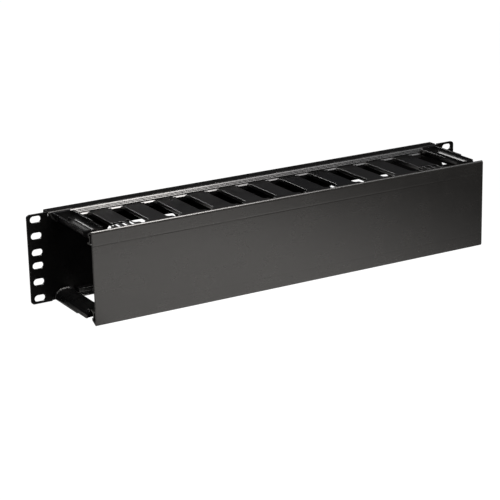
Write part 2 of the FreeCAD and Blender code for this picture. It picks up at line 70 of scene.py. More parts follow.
LOG = logging.getLogger("cable_manager")
EDGE = "edge"  # 1 on the faces of an eased edge
TONE = "tone"  # differs a little from one moulding to the next
MILLIMETRE = 0.001
SLACK = MILLIMETRE / 50  # places closer than this are the same place
MERGED = 2e-6  # vertices of a solid that are closer than this become one
FLAT_TURN = 0.4  # degrees between faces that make one flat face
SHARP_TURN = 30.0  # degrees; an edge that turns less isn't eased
WHITE = (1, 1, 1, 1)


class Side(Enum):
    """The two rows of the duct, and which way each one faces."""

    UPPER = 1
    LOWER = -1

    @property
    def word(self) -> str:
        """The side as it stands in node names."""
        return self.name.lower()


class Coat(Enum):
    """Finishes, by the record's material slot that each one belongs to."""

    POWDER = "painted_steel"
    MOULDED = "moulded_plastic"
    EXTRUDED = "cover_plastic"


# ---------------------------------------------------------------- shader parts


@dataclass(frozen=True)
class Ramp:
    """A smooth change from start to end while a value goes from low to high."""

    low: float
    high: float
    start: float = 0.0
    end: float = 1.0


class Bench:
    """A node tree being wired, with short ways to add nodes and links."""

    def __init__(self, tree: bpy.types.NodeTree) -> None:
        """Work on a tree.

        Args:
            tree: The tree to add nodes to.
        """
        self.tree = tree

    def add(self, kind: str, settings: dict[str, object] | None = None,
            **sockets: object) -> bpy.types.Node:
        """Add a node.

        Args:
            kind: The node's type name.
            settings: Properties of the node itself.
            **sockets: Values or other nodes' sockets for its inputs, with _ for a space.

        Returns:
            The new node.
        """
        node = self.tree.nodes.new(kind)
        for name, value in (settings or {}).items():
            setattr(node, name, value)
        for name, value in sockets.items():
            self.feed(node, name.replace("_", " "), value)
        return node

    def feed(self, node: bpy.types.Node, name: str | int, value: object) -> None:
        """Set or link one input of a node.

        Args:
            node: The node.
            name: The input's name or number.
            value: A plain value, or the socket to link from.
        """
        socket = node.inputs[name]
        if isinstance(value, bpy.types.NodeSocket):
            self.tree.links.new(value, socket)
        else:
            socket.default_value = value

    def math(self, operation: str, *values: object) -> bpy.types.NodeSocket:
        """Add a math node.

        Args:
            operation: The node's operation.
            *values: Its inputs in order.

        Returns:
            Its result.
        """
        node = self.add("ShaderNodeMath", {"operation": operation})
        for number, value in enumerate(values):
            self.feed(node, number, value)
        return node.outputs[0]

    def ramp(self, value: object, ramp: Ramp) -> bpy.types.NodeSocket:
        """Send a value through a ramp, held at both ends.

        Args:
            value: The value.
            ramp: The ramp.

        Returns:
            What the ramp makes of it.
        """
        node = self.add("ShaderNodeMapRange", {"interpolation_type": "SMOOTHSTEP"}, Value=value,
                        From_Min=ramp.low, From_Max=ramp.high, To_Min=ramp.start, To_Max=ramp.end)
        return node.outputs["Result"]

    def place(self) -> bpy.types.NodeSocket:
        """Add the Object coordinates."""
        return self.add("ShaderNodeTexCoord").outputs["Object"]

    def part(self, vector: bpy.types.NodeSocket, axis: str) -> bpy.types.NodeSocket:
        """Take a vector's part along one axis."""
        return self.add("ShaderNodeSeparateXYZ", Vector=vector).outputs[axis]

    def noise(self, scale: object, detail: float,
              stretch: Sequence[float] | None = None) -> bpy.types.NodeSocket:
        """Add noise on Object coordinates.

        Args:
            scale: Cells to the metre.
            detail: Octaves.
            stretch: Share of the scale along each axis, where it isn't even.

        Returns:
            The noise, about 0.5 on average.
        """
        place = self.place()
        if stretch:
            place = self.add("ShaderNodeMapping", Vector=place, Scale=tuple(stretch)).outputs[0]
        node = self.add("ShaderNodeTexNoise", Vector=place, Scale=scale, Detail=detail)
        return node.outputs["Fac"]

    def blend(self, factor: object, first: object, second: object) -> bpy.types.NodeSocket:
        """Mix two colours.

        Args:
            factor: Share of the second.
            first: Colour or socket.
            second: Colour or socket.

        Returns:
            The mixed colour.
        """
        node = self.add("ShaderNodeMix", {"data_type": "RGBA"})
        for number, value in ((0, factor), (6, first), (7, second)):
            self.feed(node, number, value)
        return node.outputs[2]

    def mix(self, factor: object, first: bpy.types.Node,
            second: bpy.types.Node) -> bpy.types.NodeSocket:
        """Mix two shaders.

        Args:
            factor: Share of the second.
            first: Shader node.
            second: Shader node.

        Returns:
            The mixed shader.
        """
        node = self.add("ShaderNodeMixShader")
        for number, value in enumerate((factor, first.outputs[0], second.outputs[0])):
            self.feed(node, number, value)
        return node.outputs[0]

    def group(self, tree: bpy.types.NodeTree, **sockets: object) -> bpy.types.Node:
        """Place a shared group, with its inputs as in add."""
        return self.add("ShaderNodeGroup", {"node_tree": tree}, **sockets)


def new_group(name: str, inputs: dict[str, str],
              outputs: dict[str, str]) -> tuple[Bench, bpy.types.Node, bpy.types.Node]:
    """Start a shader node group.

    Args:
        name: The group's name.
        inputs: Socket type by input name.
        outputs: Socket type by output name.

    Returns:
        The bench, and the group's input and output nodes.
    """
    tree = bpy.data.node_groups.new(name, "ShaderNodeTree")
    for way, sockets in (("INPUT", inputs), ("OUTPUT", outputs)):
        for label, kind in sockets.items():
            tree.interface.new_socket(label, in_out=way, socket_type=f"NodeSocket{kind}")
    bench = Bench(tree)
    return bench, bench.add("NodeGroupInput"), bench.add("NodeGroupOutput")


class SharedShading:
    """Effects that several finishes use, each built once."""

    WEAR_PATCHES: Ramp = Ramp(0.35, 0.7, 0.25)
    DUST_LIES: Ramp = Ramp(0.35, 1.0)
    DUST_CLOUDS: Ramp = Ramp(0.4, 0.75, 0.2)
    DUST_SPECKS: Ramp = Ramp(0.66, 0.8)
    CLOUD_SCALE: float = 60.0
    SPECK_SCALE: float = 1400.0
    SPECK_SHARE: float = 0.6
    DUST_COLOUR: tuple[float, float, float, float] = (0.30, 0.29, 0.27, 1)

    def __init__(self) -> None:
        """Build the groups."""
        self.wear = self._wear()
        self.dust = self._dust()
        self.grain = self._grain()

    @classmethod
    def _wear(cls) -> bpy.types.NodeTree:
        """Handling marks along eased edges.

        Returns:
            The group: a colour and a mask.
        """
        bench, given, out = new_group("edge wear", {"Colour": "Color", "Worn": "Color",
                                                    "Amount": "Float", "Patch Scale": "Float"},
                                      {"Colour": "Color", "Mask": "Float"})
        edge = bench.add("ShaderNodeAttribute", {"attribute_name": EDGE}).outputs["Fac"]
        patchy = bench.ramp(bench.noise(given.outputs["Patch Scale"], detail=4.0), cls.WEAR_PATCHES)
        mask = bench.math("MULTIPLY", bench.math("MULTIPLY", edge, patchy), given.outputs["Amount"])
        colour = bench.blend(mask, given.outputs["Colour"], given.outputs["Worn"])
        bench.feed(out, "Colour", colour)
        bench.feed(out, "Mask", mask)
        return bench.tree

    @classmethod
    def _dust(cls) -> bpy.types.NodeTree:
        """Thin dust on what faces up.

        Returns:
            The group: a colour and a mask.
        """
        bench, given, out = new_group("dust", {"Colour": "Color", "Amount": "Float"},
                                      {"Colour": "Color", "Mask": "Float"})
        normal = bench.add("ShaderNodeNewGeometry").outputs["Normal"]
        lying = bench.ramp(bench.part(normal, "Z"), cls.DUST_LIES)
        clouds = bench.ramp(bench.noise(cls.CLOUD_SCALE, detail=5.0), cls.DUST_CLOUDS)
        specks = bench.ramp(bench.noise(cls.SPECK_SCALE, detail=2.0), cls.DUST_SPECKS)
        cover = bench.math("MULTIPLY_ADD", specks, cls.SPECK_SHARE, clouds)
        mask = bench.math("MULTIPLY", bench.math("MULTIPLY", lying, cover), given.outputs["Amount"])
        colour = bench.blend(mask, given.outputs["Colour"], cls.DUST_COLOUR)
        bench.feed(out, "Colour", colour)
        bench.feed(out, "Mask", mask)
        return bench.tree

    @staticmethod
    def _grain() -> bpy.types.NodeTree:
        """Fine texture of a surface, as a height and as a mottle.

        Returns:
            The group: a height and a mottle.
        """
        bench, given, out = new_group("grain", {"Fine Scale": "Float", "Broad Scale": "Float",
                                                "Broad Share": "Float"},
                                      {"Height": "Float", "Mottle": "Float"})
        fine = bench.noise(given.outputs["Fine Scale"], detail=2.0)
        broad = bench.noise(given.outputs["Broad Scale"], detail=4.0)
        height = bench.math("MULTIPLY_ADD", broad, given.outputs["Broad Share"], fine)
        bench.feed(out, "Height", height)
        bench.feed(out, "Mottle", broad)
        return bench.tree


# -------------------------------------------------------------------- finishes


@dataclass(frozen=True)
class Finish:
    """A surface finish: what all of them share.

    Colours are linear. The scales are cells to the metre, and depth is how far the grain
    stands out, in metres. The mottle runs from base to mottled, and from the first roughness
    to the second.
    """

    name: str
    base: tuple[float, float, float]
    mottled: tuple[float, float, float]
    worn: tuple[float, float, float]
    roughness: tuple[float, float]
    specular: float
    fine_scale: float
    broad_scale: float
    broad_share: float
    depth: float
    wear: float
    dust: float
    metallic: float = 0.0
    tone_share: float = 0.35
    colour_ramp: Ramp = Ramp(0.3, 0.8)
    rough_ends: tuple[float, float] = (0.25, 0.85)
    wear_scale: float = 90.0
    dusty_roughness: float = 0.5

    def relief(self, bench: Bench, height: bpy.types.NodeSocket) -> bpy.types.NodeSocket:
        """Give the height that shows in the light; a finish with more than grain adds to it.

        Args:
            bench: The material's bench.
            height: Height of the grain.

        Returns:
            The whole height.
        """
        return height

    def gloss(self, bench: Bench, rough: bpy.types.NodeSocket) -> bpy.types.NodeSocket:
        """Give the roughness; a finish with streaks or rubs changes it.

        Args:
            bench: The material's bench.
            rough: Roughness of the plain surface.

        Returns:
            The roughness that shows.
        """
        return rough

    def make(self, shared: SharedShading) -> bpy.types.Material:
        """Build the material.

        Args:
            shared: The shared groups.

        Returns:
            The material.
        """
        material = bpy.data.materials.new(self.name)
        material.use_nodes = True
        bench = Bench(material.node_tree)
        shader = material.node_tree.nodes["Principled BSDF"]
        grain = bench.group(shared.grain, Fine_Scale=self.fine_scale, Broad_Scale=self.broad_scale,
                            Broad_Share=self.broad_share)
        tone = bench.add("ShaderNodeAttribute", {"attribute_name": TONE}).outputs["Fac"]
        mottle = bench.math("MULTIPLY_ADD", tone, self.tone_share, grain.outputs["Mottle"])
        colour = bench.blend(bench.ramp(mottle, self.colour_ramp), (*self.base, 1),
                             (*self.mottled, 1))
        worn = bench.group(shared.wear, Colour=colour, Worn=(*self.worn, 1), Amount=self.wear,
                           Patch_Scale=self.wear_scale)
        dusty = bench.group(shared.dust, Colour=worn.outputs["Colour"], Amount=self.dust)
        rough = bench.ramp(mottle, Ramp(*self.rough_ends, *self.roughness))
        rough = bench.math("MULTIPLY_ADD", dusty.outputs["Mask"], self.dusty_roughness,
                           self.gloss(bench, rough))
        height = self.relief(bench, grain.outputs["Height"])
        bump = bench.add("ShaderNodeBump", Height=height, Strength=1.0, Distance=self.depth)
        bench.feed(shader, "Base Color", dusty.outputs["Colour"])
        bench.feed(shader, "Roughness", rough)
        bench.feed(shader, "Normal", bump.outputs["Normal"])
        shader.inputs["Metallic"].default_value = self.metallic
        shader.inputs["Specular IOR Level"].default_value = self.specular
        return material


@dataclass(frozen=True)
class ExtrudedFinish(Finish):
    """Smooth extruded plastic: die lines along X, and sink lines over the inner lips."""

    line_scale: float = 500.0
    line_stretch: tuple[float, float, float] = (0.004, 1.0, 1.0)
    line_height: float = 0.35
    shine_scale: float = 260.0
    shine_stretch: tuple[float, float, float] = (0.006, 1.0, 1.0)
    shine: float = 0.10
    sink_height: float = 0.031
    sink_width: float = 0.0011
    sink_depth: float = 5.0

    def relief(self, bench: Bench, height: bpy.types.NodeSocket) -> bpy.types.NodeSocket:
        """Add the die lines and the sink lines.

        Args:
            bench: The material's bench.
            height: Height of the grain.

        Returns:
            The whole height.
        """
        lines = bench.noise(self.line_scale, detail=3.0, stretch=self.line_stretch)
        lined = bench.math("MULTIPLY_ADD", lines, self.line_height, height)
        level = bench.math("ABSOLUTE", bench.part(bench.place(), "Z"))
        away = bench.math("ABSOLUTE", bench.math("SUBTRACT", level, self.sink_height))
        sink = bench.ramp(away, Ramp(0.0, self.sink_width, self.sink_depth, 0.0))
        return bench.math("SUBTRACT", lined, sink)

    def gloss(self, bench: Bench, rough: bpy.types.NodeSocket) -> bpy.types.NodeSocket:
        """Let the die lines shine a little differently.

        Args:
            bench: The material's bench.
            rough: Roughness of the plain surface.

        Returns:
            The roughness that shows.
        """
        lines = bench.noise(self.shine_scale, detail=4.0, stretch=self.shine_stretch)
        return bench.math("MULTIPLY_ADD", bench.math("SUBTRACT", lines, 0.5), self.shine, rough)


POWDER_COAT = Finish(
    name="black powder coat", base=(0.0007, 0.0007, 0.0007), mottled=(0.0015, 0.0014, 0.0014),
    worn=(0.06, 0.06, 0.062), roughness=(0.27, 0.36), specular=0.15, fine_scale=1500.0,
    broad_scale=420.0, broad_share=1.6, depth=0.00003, wear=0.35, dust=0.0025)
MOULDED_SATIN = Finish(
    name="moulded satin plastic", base=(0.0007, 0.0007, 0.0008), mottled=(0.0014, 0.0014, 0.0015),
    worn=(0.05, 0.05, 0.051), roughness=(0.24, 0.33), specular=0.52, fine_scale=2200.0,
    broad_scale=70.0, broad_share=2.0, depth=0.000012, wear=0.30, dust=0.0025)
EXTRUDED_SATIN = ExtrudedFinish(
    name="extruded satin plastic", base=(0.0085, 0.0083, 0.0080), mottled=(0.0105, 0.0102, 0.0098),
    worn=(0.05, 0.049, 0.047), roughness=(0.22, 0.30), specular=0.45, fine_scale=1800.0,
    broad_scale=40.0, broad_share=3.0, depth=0.000016, wear=0.25, dust=0.008)
BLACK_ZINC = Finish(
    name="black zinc", base=(0.035, 0.034, 0.036), mottled=(0.065, 0.06, 0.07),
    worn=(0.25, 0.24, 0.23), roughness=(0.30, 0.45), specular=0.5, fine_scale=3000.0,
    broad_scale=500.0, broad_share=1.0, depth=0.00002, wear=0.5, dust=0.01, metallic=0.85)


class FinishRack:
    """The made materials, by their finish."""

    def __init__(self) -> None:
        """Make every material once."""
        shared = SharedShading()
        self.powder = POWDER_COAT.make(shared)
        self.moulded = MOULDED_SATIN.make(shared)
        self.extruded = EXTRUDED_SATIN.make(shared)
        self.zinc = BLACK_ZINC.make(shared)


# ------------------------------------------------------------------- mesh work


def place_piece(name: str, mesh: bpy.types.Mesh) -> bpy.types.Object:
    """Put a mesh in the scene as an object at the origin.

    Args:
        name: The object's name.
        mesh: Its mesh.

    Returns:
        The object.
    """
    piece = bpy.data.objects.new(name, mesh)
    bpy.context.scene.collection.objects.link(piece)
    return piece


def place_shape(name: str, shape: bmesh.types.BMesh) -> bpy.types.Object:
    """Put a shape in the scene as an object at the origin, and free it.

    Args:
        name: The object's name.
        shape: The shape.

    Returns:
        The object.
    """
    mesh = bpy.data.meshes.new(name)
    shape.to_mesh(mesh)
    shape.free()
    return place_piece(name, mesh)


def settle(piece: bpy.types.Object) -> None:
    """Turn a piece and its modifiers into one plain mesh.

    Args:
        piece: The piece.
    """
    bpy.context.view_layer.update()
    depsgraph = bpy.context.evaluated_depsgraph_get()
    mesh = bpy.data.meshes.new_from_object(piece.evaluated_get(depsgraph),
                                           preserve_all_data_layers=True, depsgraph=depsgraph)
    piece.modifiers.clear()
    old, piece.data = piece.data, mesh
    bpy.data.meshes.remove(old)
    mesh.name = piece.name


def copy_solid(node: str, name: str) -> bpy.types.Object:
    """Copy a frame solid as a merged mesh with whole flat faces.

    Args:
        node: The frame's node.
        name: The copy's name.

    Returns:
        The copy, at the origin.
    """
    shape = bmesh.new()
    shape.from_mesh(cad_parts[node].data)
    bmesh.ops.remove_doubles(shape, verts=shape.verts, dist=MERGED)
    bmesh.ops.dissolve_limit(shape, angle_limit=math.radians(FLAT_TURN), delimit=set(),
                             use_dissolve_boundaries=False, verts=shape.verts, edges=shape.edges)
    piece = place_shape(name, shape)
    attributes = piece.data.attributes
    for attribute in [item for item in attributes if item.name == "custom_normal"]:
        attributes.remove(attribute)
    return piece


def ease_edges(piece: bpy.types.Object, width: float, segments: int = 2,
               full: bool = False) -> None:
    """Round a piece's edges, and mark the new faces for wear.

    Args:
        piece: The piece.
        width: Width of the rounding.
        segments: Faces across it.
        full: Whether the rounding keeps its width where short edges meet it.
    """
    mesh = piece.data
    mesh.materials.clear()
    mesh.materials.append(None)
    mesh.materials.append(None)
    mesh.polygons.foreach_set("material_index", [0] * len(mesh.polygons))
    mesh.polygons.foreach_set("use_smooth", [True] * len(mesh.polygons))
    bevel = piece.modifiers.new("eased edges", "BEVEL")
    bevel.width = width
    bevel.segments = segments
    bevel.limit_method = "ANGLE"
    bevel.angle_limit = math.radians(SHARP_TURN)
    bevel.harden_normals = True
    bevel.use_clamp_overlap = not full
    bevel.material = 1
    settle(piece)
    mesh = piece.data
    marked = [float(face.material_index == 1) for face in mesh.polygons]
    mesh.attributes.new(EDGE, "FLOAT", "FACE").data.foreach_set("value", marked)
    mesh.polygons.foreach_set("material_index", [0] * len(mesh.polygons))


def round_line(piece: bpy.types.Object, ahead: float | None, level: float, width: float,
               segments: int) -> None:
    """Round chosen straight edges of a piece more than the rest.

    Args:
        piece: The piece.
        ahead: How far forward the edges lie. None means edges that run front to rear.
        level: Their height, either way from the middle.
        width: Width of the rounding.
        segments: Faces across it.
    """
    shape = bmesh.new()
    shape.from_mesh(piece.data)
    chosen = []
    for edge in shape.edges:
        one, other = (vertex.co for vertex in edge.verts)
        if max(abs(abs(end.z) - level) for end in (one, other)) > SLACK:
            continue
        if ahead is None:
            if abs(one.y - other.y) > MILLIMETRE and abs(one.x - other.x) < SLACK:
                chosen.append(edge)
        elif max(abs(-end.y - ahead) for end in (one, other)) < SLACK:
            chosen.append(edge)
    bmesh.ops.bevel(shape, geom=chosen, offset=width, segments=segments, profile=0.5,
                    affect="EDGES", clamp_overlap=True)
    shape.to_mesh(piece.data)
    shape.free()


def coat(piece: bpy.types.Object, material: bpy.types.Material) -> None:
    """Give a piece one material.

    Args:
        piece: The piece.
        material: Its material.
    """
    piece.data.materials.clear()
    piece.data.materials.append(material)


def cut(piece: bpy.types.Object, tool: bpy.types.Object) -> None:
    """Cut one closed shape out of a piece, and remove the tool.

    Args:
        piece: The piece.
        tool: The shape to cut with.
    """
    knife = piece.modifiers.new("cut", "BOOLEAN")
    knife.operation = "DIFFERENCE"
    knife.solver = "EXACT"
    knife.object = tool
    settle(piece)
    bpy.data.objects.remove(tool)


def lathe(name: str, profile: Sequence[tuple[float, float]], facets: int) -> bpy.types.Object:
    """Turn a profile about the Y axis.

    Args:
        name: The object's name.
        profile: Radius and place along Y, from one point on the axis to another.
        facets: Faces around.

    Returns:
        The turned piece.
    """
    shape = bmesh.new()
    rings = []
    for radius, along in profile:
        if radius == 0:
            rings.append([shape.verts.new((0, along, 0))])
            continue
        angles = [2 * math.pi * step / facets for step in range(facets)]
        rings.append([shape.verts.new((radius * math.cos(a), along, radius * math.sin(a)))
                      for a in angles])
    for one, other in zip(rings, rings[1:]):
        for step in range(facets):
            following = (step + 1) % facets
            corners = [one[step % len(one)], one[following % len(one)],
                       other[following % len(other)], other[step % len(other)]]
            shape.faces.new(list(dict.fromkeys(corners)))
    bmesh.ops.recalc_face_normals(shape, faces=shape.faces)
    return place_shape(name, shape)


def box_tool(name: str, low: Sequence[float], high: Sequence[float]) -> bpy.types.Object:
    """Make a plain block to cut with.

    Args:
        name: The object's name.
        low: Its lowest corner.
        high: Its highest corner.

    Returns:
        The block.
    """
    shape = bmesh.new()
    middle = (Vector(low) + Vector(high)) / 2
    extent = Vector(high) - Vector(low)
    bmesh.ops.create_cube(shape, size=1.0,
                          matrix=Matrix.Translation(middle) @ Matrix.Diagonal((*extent, 1.0)))
    return place_shape(name, shape)


class RepeatTrees:
    """Geometry Nodes trees for what repeats, each built once."""

    def __init__(self) -> None:
        """Build the trees."""
        self.row = self._row()
        self.scatter = self._scatter()

    @staticmethod
    def _start(name: str, inputs: dict[str, str]) -> tuple[Bench, bpy.types.Node]:
        """Start a tree.

        Args:
            name: The tree's name.
            inputs: Socket type by input name.

        Returns:
            The bench and the tree's input node.
        """
        tree = bpy.data.node_groups.new(name, "GeometryNodeTree")
        tree.interface.new_socket("Geometry", in_out="INPUT", socket_type="NodeSocketGeometry")
        for label, kind in inputs.items():
            tree.interface.new_socket(label, in_out="INPUT", socket_type=f"NodeSocket{kind}")
        tree.interface.new_socket("Geometry", in_out="OUTPUT", socket_type="NodeSocketGeometry")
        bench = Bench(tree)
        return bench, bench.add("NodeGroupInput")

    @staticmethod
    def _end(bench: Bench, instances: bpy.types.NodeSocket, given: bpy.types.Node) -> None:
        """Tone the instances, realize them and set their material.

        Args:
            bench: The tree's bench.
            instances: The instances.
            given: The tree's input node.
        """
        tone = bench.add("FunctionNodeRandomValue", {"data_type": "FLOAT"})
        for name, value in ((2, -1.0), (3, 1.0), ("Seed", given.outputs["Seed"])):
            bench.feed(tone, name, value)
        kept = bench.add("GeometryNodeStoreNamedAttribute",
                         {"data_type": "FLOAT", "domain": "INSTANCE"},
                         Geometry=instances, Name=TONE, Value=tone.outputs[1])
        real = bench.add("GeometryNodeRealizeInstances", Geometry=kept.outputs[0])
        dressed = bench.add("GeometryNodeSetMaterial", Geometry=real.outputs[0],
                            Material=given.outputs["Material"])
        bench.add("NodeGroupOutput", Geometry=dressed.outputs[0])

    @classmethod
    def _row(cls) -> bpy.types.NodeTree:
        """Repeat a piece along X, the first one where it stands.

        Returns:
            The tree.
        """
        bench, given = cls._start("row of mouldings", {"Count": "Int", "Pitch": "Float",
                                                       "Seed": "Int", "Material": "Material"})
        step = bench.add("ShaderNodeCombineXYZ", X=given.outputs["Pitch"])
        line = bench.add("GeometryNodeMeshLine", {"mode": "OFFSET"}, Count=given.outputs["Count"],
                         Offset=step.outputs[0])
        spread = bench.add("GeometryNodeInstanceOnPoints", Points=line.outputs[0],
                           Instance=given.outputs["Geometry"])
        cls._end(bench, spread.outputs[0], given)
        return bench.tree

    @classmethod
    def _scatter(cls) -> bpy.types.NodeTree:
        """Put a pattern piece on every point of the geometry, each turned its own way about Y.

        Returns:
            The tree.
        """
        bench, given = cls._start("pieces on points", {"Pattern": "Object", "Turn": "Float",
                                                       "Seed": "Int", "Material": "Material"})
        pattern = bench.add("GeometryNodeObjectInfo", Object=given.outputs["Pattern"])
        turn = bench.add("FunctionNodeRandomValue", {"data_type": "FLOAT"})
        bench.feed(turn, 3, given.outputs["Turn"])
        bench.feed(turn, "Seed", given.outputs["Seed"])
        about = bench.add("ShaderNodeCombineXYZ", Y=turn.outputs[1])
        spread = bench.add("GeometryNodeInstanceOnPoints", Points=given.outputs["Geometry"],
                           Instance=pattern.outputs["Geometry"], Rotation=about.outputs[0])
        cls._end(bench, spread.outputs[0], given)
        return bench.tree

    @staticmethod
    def run(piece: bpy.types.Object, tree: bpy.types.NodeTree, **values: object) -> None:
        """Run a tree on a piece and keep the plain mesh.

        Args:
            piece: The piece whose geometry goes in.
            tree: The tree.
            **values: Its inputs.
        """
        repeat = piece.modifiers.new("repeat", "NODES")
        repeat.node_group = tree
        for item in tree.interface.items_tree:
            if item.in_out == "INPUT" and item.name in values:
                repeat[item.identifier] = values[item.name]
        settle(piece)


# -------------------------------------------------------------- sub-assemblies


@dataclass
class Assembly:
    """What every sub-assembly needs: finishes, trees and the body it rides on."""

    finishes: FinishRack
    trees: RepeatTrees
    body: str = "frame"

    def hand_over(self, piece: bpy.types.Object, slot: Coat, *nodes: str) -> None:
        """Put a finished piece on its body in place of frame nodes.

        Args:
            piece: The piece.
            slot: The record's material slot; not used.
            *nodes: The frame nodes that it stands for.
        """
        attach(piece, self.body)
        if nodes:
            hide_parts(*nodes)
        LOG.info("%s: %d faces", piece.name, len(piece.data.polygons))


@dataclass
class BackPlate(Assembly):
    """Folded steel plate, powder coated, with its screws from behind."""

    edge_width: float = 0.00035
    rear_face: float = 0.002
    screw_height: float = 0.03615
    screw_slots: tuple[float, ...] = (1.5, 3.5, 5.5)
    end_screw_place: tuple[float, float] = (0.2095, 0.03615)
    head_profile: tuple[tuple[float, float], ...] = (
        (0.0, 0.0017), (0.0013, 0.00167), (0.0020, 0.00150), (0.0024, 0.00118), (0.0026, 0.0008),
        (0.0027, 0.00035), (0.0027, -0.0002), (0.0, -0.0002))
    head_facets: int = 28
    head_edge: float = 0.00008
    recess: tuple[float, float, float] = (0.0032, 0.0007, 0.0009)
    screw_seed: int = 7

    def build(self, pitch: float) -> None:
        """Build the plate and its screws.

        Args:
            pitch: From one finger to the next.
        """
        plate = copy_solid("back_plate", "coated_plate")
        ease_edges(plate, self.edge_width)
        coat(plate, self.finishes.powder)
        self.hand_over(plate, Coat.POWDER, "back_plate")
        self.hand_over(self._screws(pitch), Coat.POWDER)

    def _screw(self) -> bpy.types.Object:
        """Turn one pan head and cut its cross.

        Returns:
            The head, on the Y axis.
        """
        head = lathe("screw_head", self.head_profile, self.head_facets)
        length, width, depth = self.recess
        top = self.head_profile[0][1]
        for number, (wide, tall) in enumerate(((length, width), (width, length))):
            tool = box_tool(f"cross_{number}", (-wide / 2, top - depth, -tall / 2),
                            (wide / 2, 2 * top, tall / 2))
            cut(head, tool)
        ease_edges(head, self.head_edge, 1)
        return head

    def _screws(self, pitch: float) -> bpy.types.Object:
        """Set the screws that hold the rails and the end fingers.

        Args:
            pitch: From one finger to the next.

        Returns:
            All the screws as one piece.
        """
        places = [(across * pitch, self.screw_height) for across in self.screw_slots]
        places.append(self.end_screw_place)
        mesh = bpy.data.meshes.new("rear_screws")
        mesh.from_pydata([(x * across, self.rear_face, z * up) for across, up in places
                          for x in (-1, 1) for z in (-1, 1)], [], [])
        screws = place_piece("rear_screws", mesh)
        head = self._screw()
        self.trees.run(screws, self.trees.scatter, Pattern=head, Turn=math.tau,
                       Seed=self.screw_seed, Material=self.finishes.zinc)
        bpy.data.objects.remove(head)
        return screws


